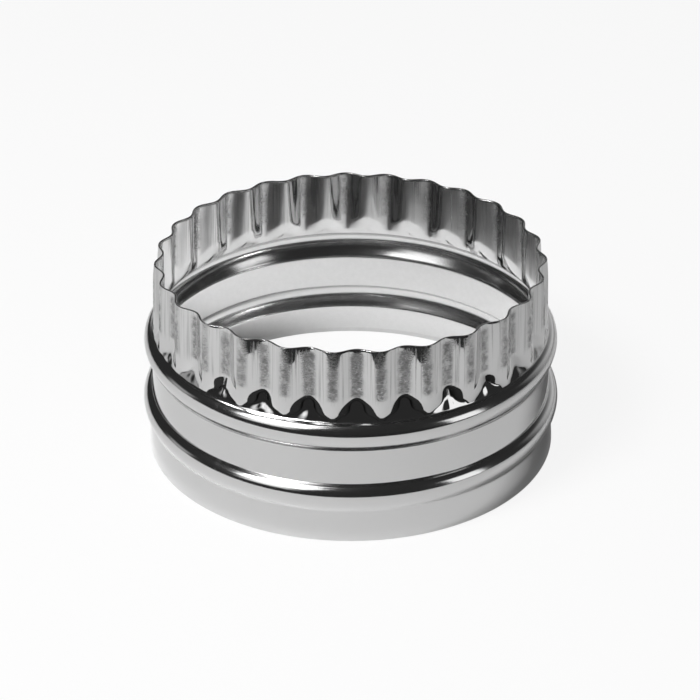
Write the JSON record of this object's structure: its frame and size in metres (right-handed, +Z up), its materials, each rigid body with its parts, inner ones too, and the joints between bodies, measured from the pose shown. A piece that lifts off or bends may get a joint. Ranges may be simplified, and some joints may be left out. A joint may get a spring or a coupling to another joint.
{
  "type": "pastry cutter",
  "caption": "Open sheet-steel ring cutter with a plain cutting edge on one side, a fluted cutting edge on the other and two rolled beads between them.",
  "frame": {"origin": "centre of the ring, in the plane of the plain cutting edge that the ring stands on", "axes": "+Z up along the ring's axis, from the plain edge to the fluted edge; -Y towards the viewer of the picture"},
  "size_m": [0.0814, 0.0814, 0.0385],
  "materials": {
    "bright_steel": "bright rolled stainless sheet, mirror-like, lightly scuffed on the flutes by the crimping rollers",
    "weld_steel": "butt weld dressed flush and polished with the sheet"
  },
  "bodies": {
    "root": {"cutter_band": "bright_steel", "seam_weld": "weld_steel"}
  },
  "joints": []
}
